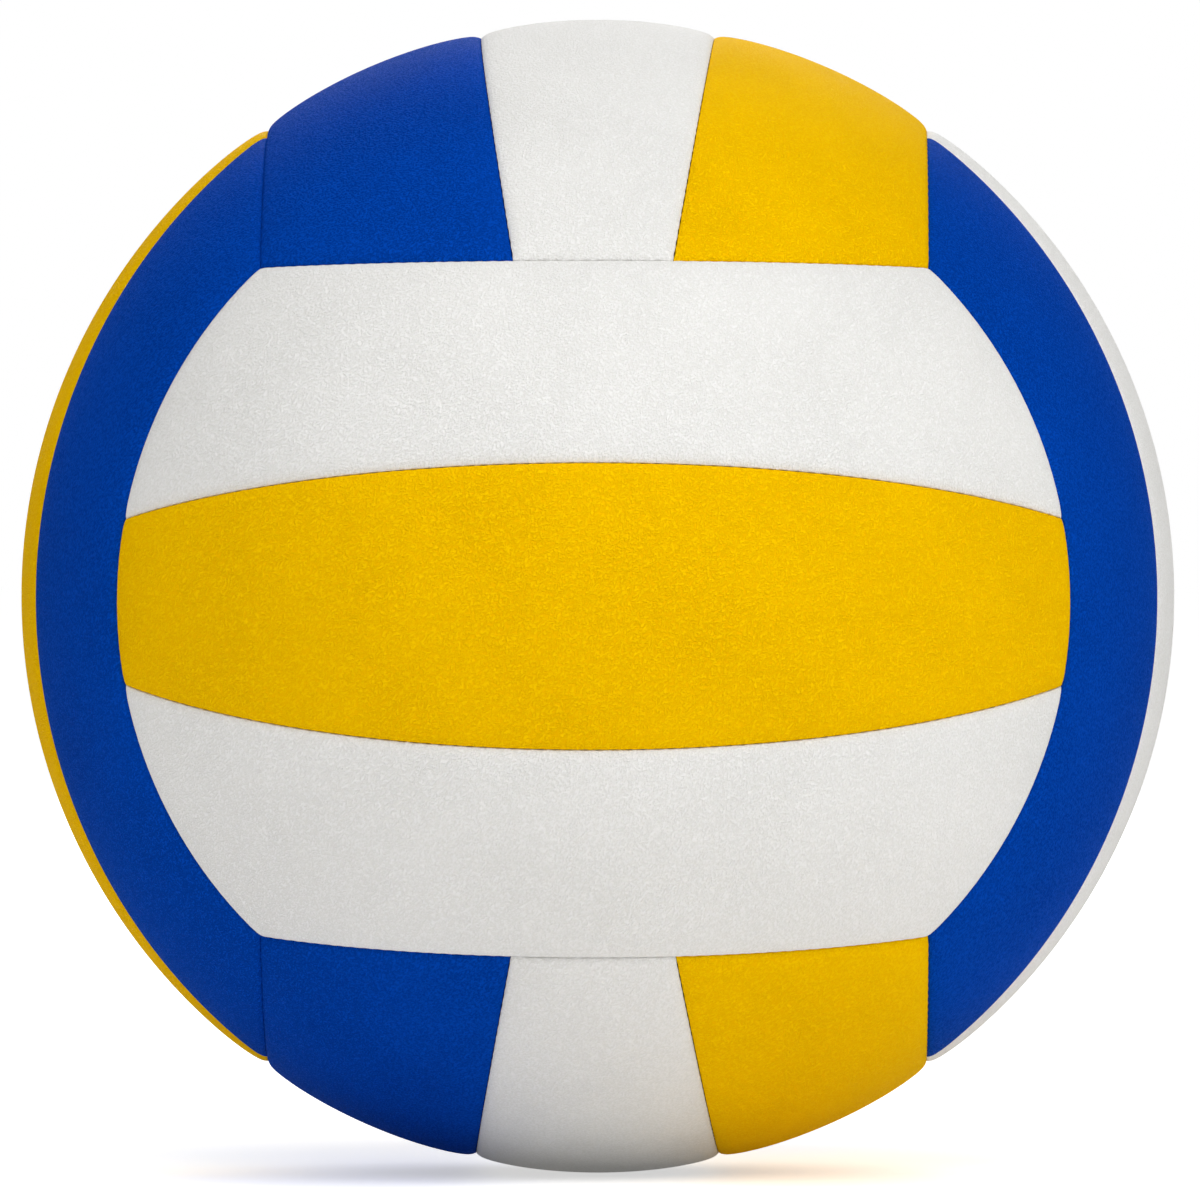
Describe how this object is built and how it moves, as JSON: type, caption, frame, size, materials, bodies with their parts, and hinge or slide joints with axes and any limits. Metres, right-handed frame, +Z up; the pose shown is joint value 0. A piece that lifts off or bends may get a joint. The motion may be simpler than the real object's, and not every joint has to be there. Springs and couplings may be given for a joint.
{
  "type": "volleyball",
  "caption": "Indoor volleyball with sewn blue, yellow and white synthetic leather panels over foam, a butyl bladder and a needle valve.",
  "frame": {"origin": "centre of the ball", "axes": "+Z up, -Y out of the front face that the picture shows, +Y out along the needle valve, +X to the right"},
  "size_m": [0.21, 0.2099, 0.21],
  "materials": {
    "white_leather": "matte",
    "yellow_leather": "matte",
    "blue_leather": "matte",
    "sponge_foam": "matte",
    "polyester_thread": "matte",
    "butyl_rubber": "satin",
    "valve_rubber": "matte",
    "core_rubber": "matte"
  },
  "bodies": {
    "root": {"panel_front_upper": "white_leather", "panel_front_centre": "yellow_leather", "panel_front_lower": "white_leather", "panel_back_upper": "blue_leather", "panel_back_centre": "yellow_leather", "panel_back_lower": "blue_leather", "panel_left_front": "blue_leather", "panel_left_centre": "yellow_leather", "panel_left_rear": "white_leather", "panel_right_front": "blue_leather", "panel_right_centre": "white_leather", "panel_right_rear": "yellow_leather", "panel_top_left": "blue_leather", "panel_top_centre": "white_leather", "panel_top_right": "yellow_leather", "panel_bottom_left": "blue_leather", "panel_bottom_centre": "white_leather", "panel_bottom_right": "yellow_leather", "pad_front_upper": "sponge_foam", "pad_front_centre": "sponge_foam", "pad_front_lower": "sponge_foam", "pad_back_upper": "sponge_foam", "pad_back_centre": "sponge_foam", "pad_back_lower": "sponge_foam", "pad_left_front": "sponge_foam", "pad_left_centre": "sponge_foam", "pad_left_rear": "sponge_foam", "pad_right_front": "sponge_foam", "pad_right_centre": "sponge_foam", "pad_right_rear": "sponge_foam", "pad_top_left": "sponge_foam", "pad_top_centre": "sponge_foam", "pad_top_right": "sponge_foam", "pad_bottom_left": "sponge_foam", "pad_bottom_centre": "sponge_foam", "pad_bottom_right": "sponge_foam", "seam_thread_front": "polyester_thread", "seam_thread_back": "polyester_thread", "seam_thread_left": "polyester_thread", "seam_thread_right": "polyester_thread", "seam_thread_top": "polyester_thread", "seam_thread_bottom": "polyester_thread", "bladder": "butyl_rubber", "valve_body": "valve_rubber", "valve_core": "core_rubber"}
  },
  "joints": []
}
